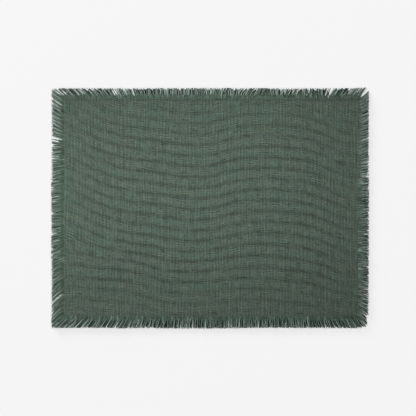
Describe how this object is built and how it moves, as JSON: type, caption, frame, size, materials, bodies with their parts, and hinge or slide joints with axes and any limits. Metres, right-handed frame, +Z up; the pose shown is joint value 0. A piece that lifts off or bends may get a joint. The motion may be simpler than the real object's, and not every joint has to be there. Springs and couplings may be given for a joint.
{
  "type": "fabric placemat",
  "caption": "Flat rectangular woven fabric placemat with a short frayed yarn fringe along all four sides, laid on a table under a place setting",
  "frame": {"origin": "on the table, under the middle of the outline over the fringe tips", "axes": "+X is the mat's width, its longest side; +Y runs to the back edge, the top edge of the picture; +Z is up, out of the table"},
  "size_m": [0.46, 0.349, 0.0015],
  "materials": {
    "woven_cloth": "matte plain weave of slubbed yarn, dark sage green",
    "fringe_yarn": "matte loose yarn, sage green"
  },
  "bodies": {
    "root": {"cloth": "woven_cloth", "fringe_back": "fringe_yarn", "fringe_front": "fringe_yarn", "fringe_left": "fringe_yarn", "fringe_right": "fringe_yarn"}
  },
  "joints": []
}
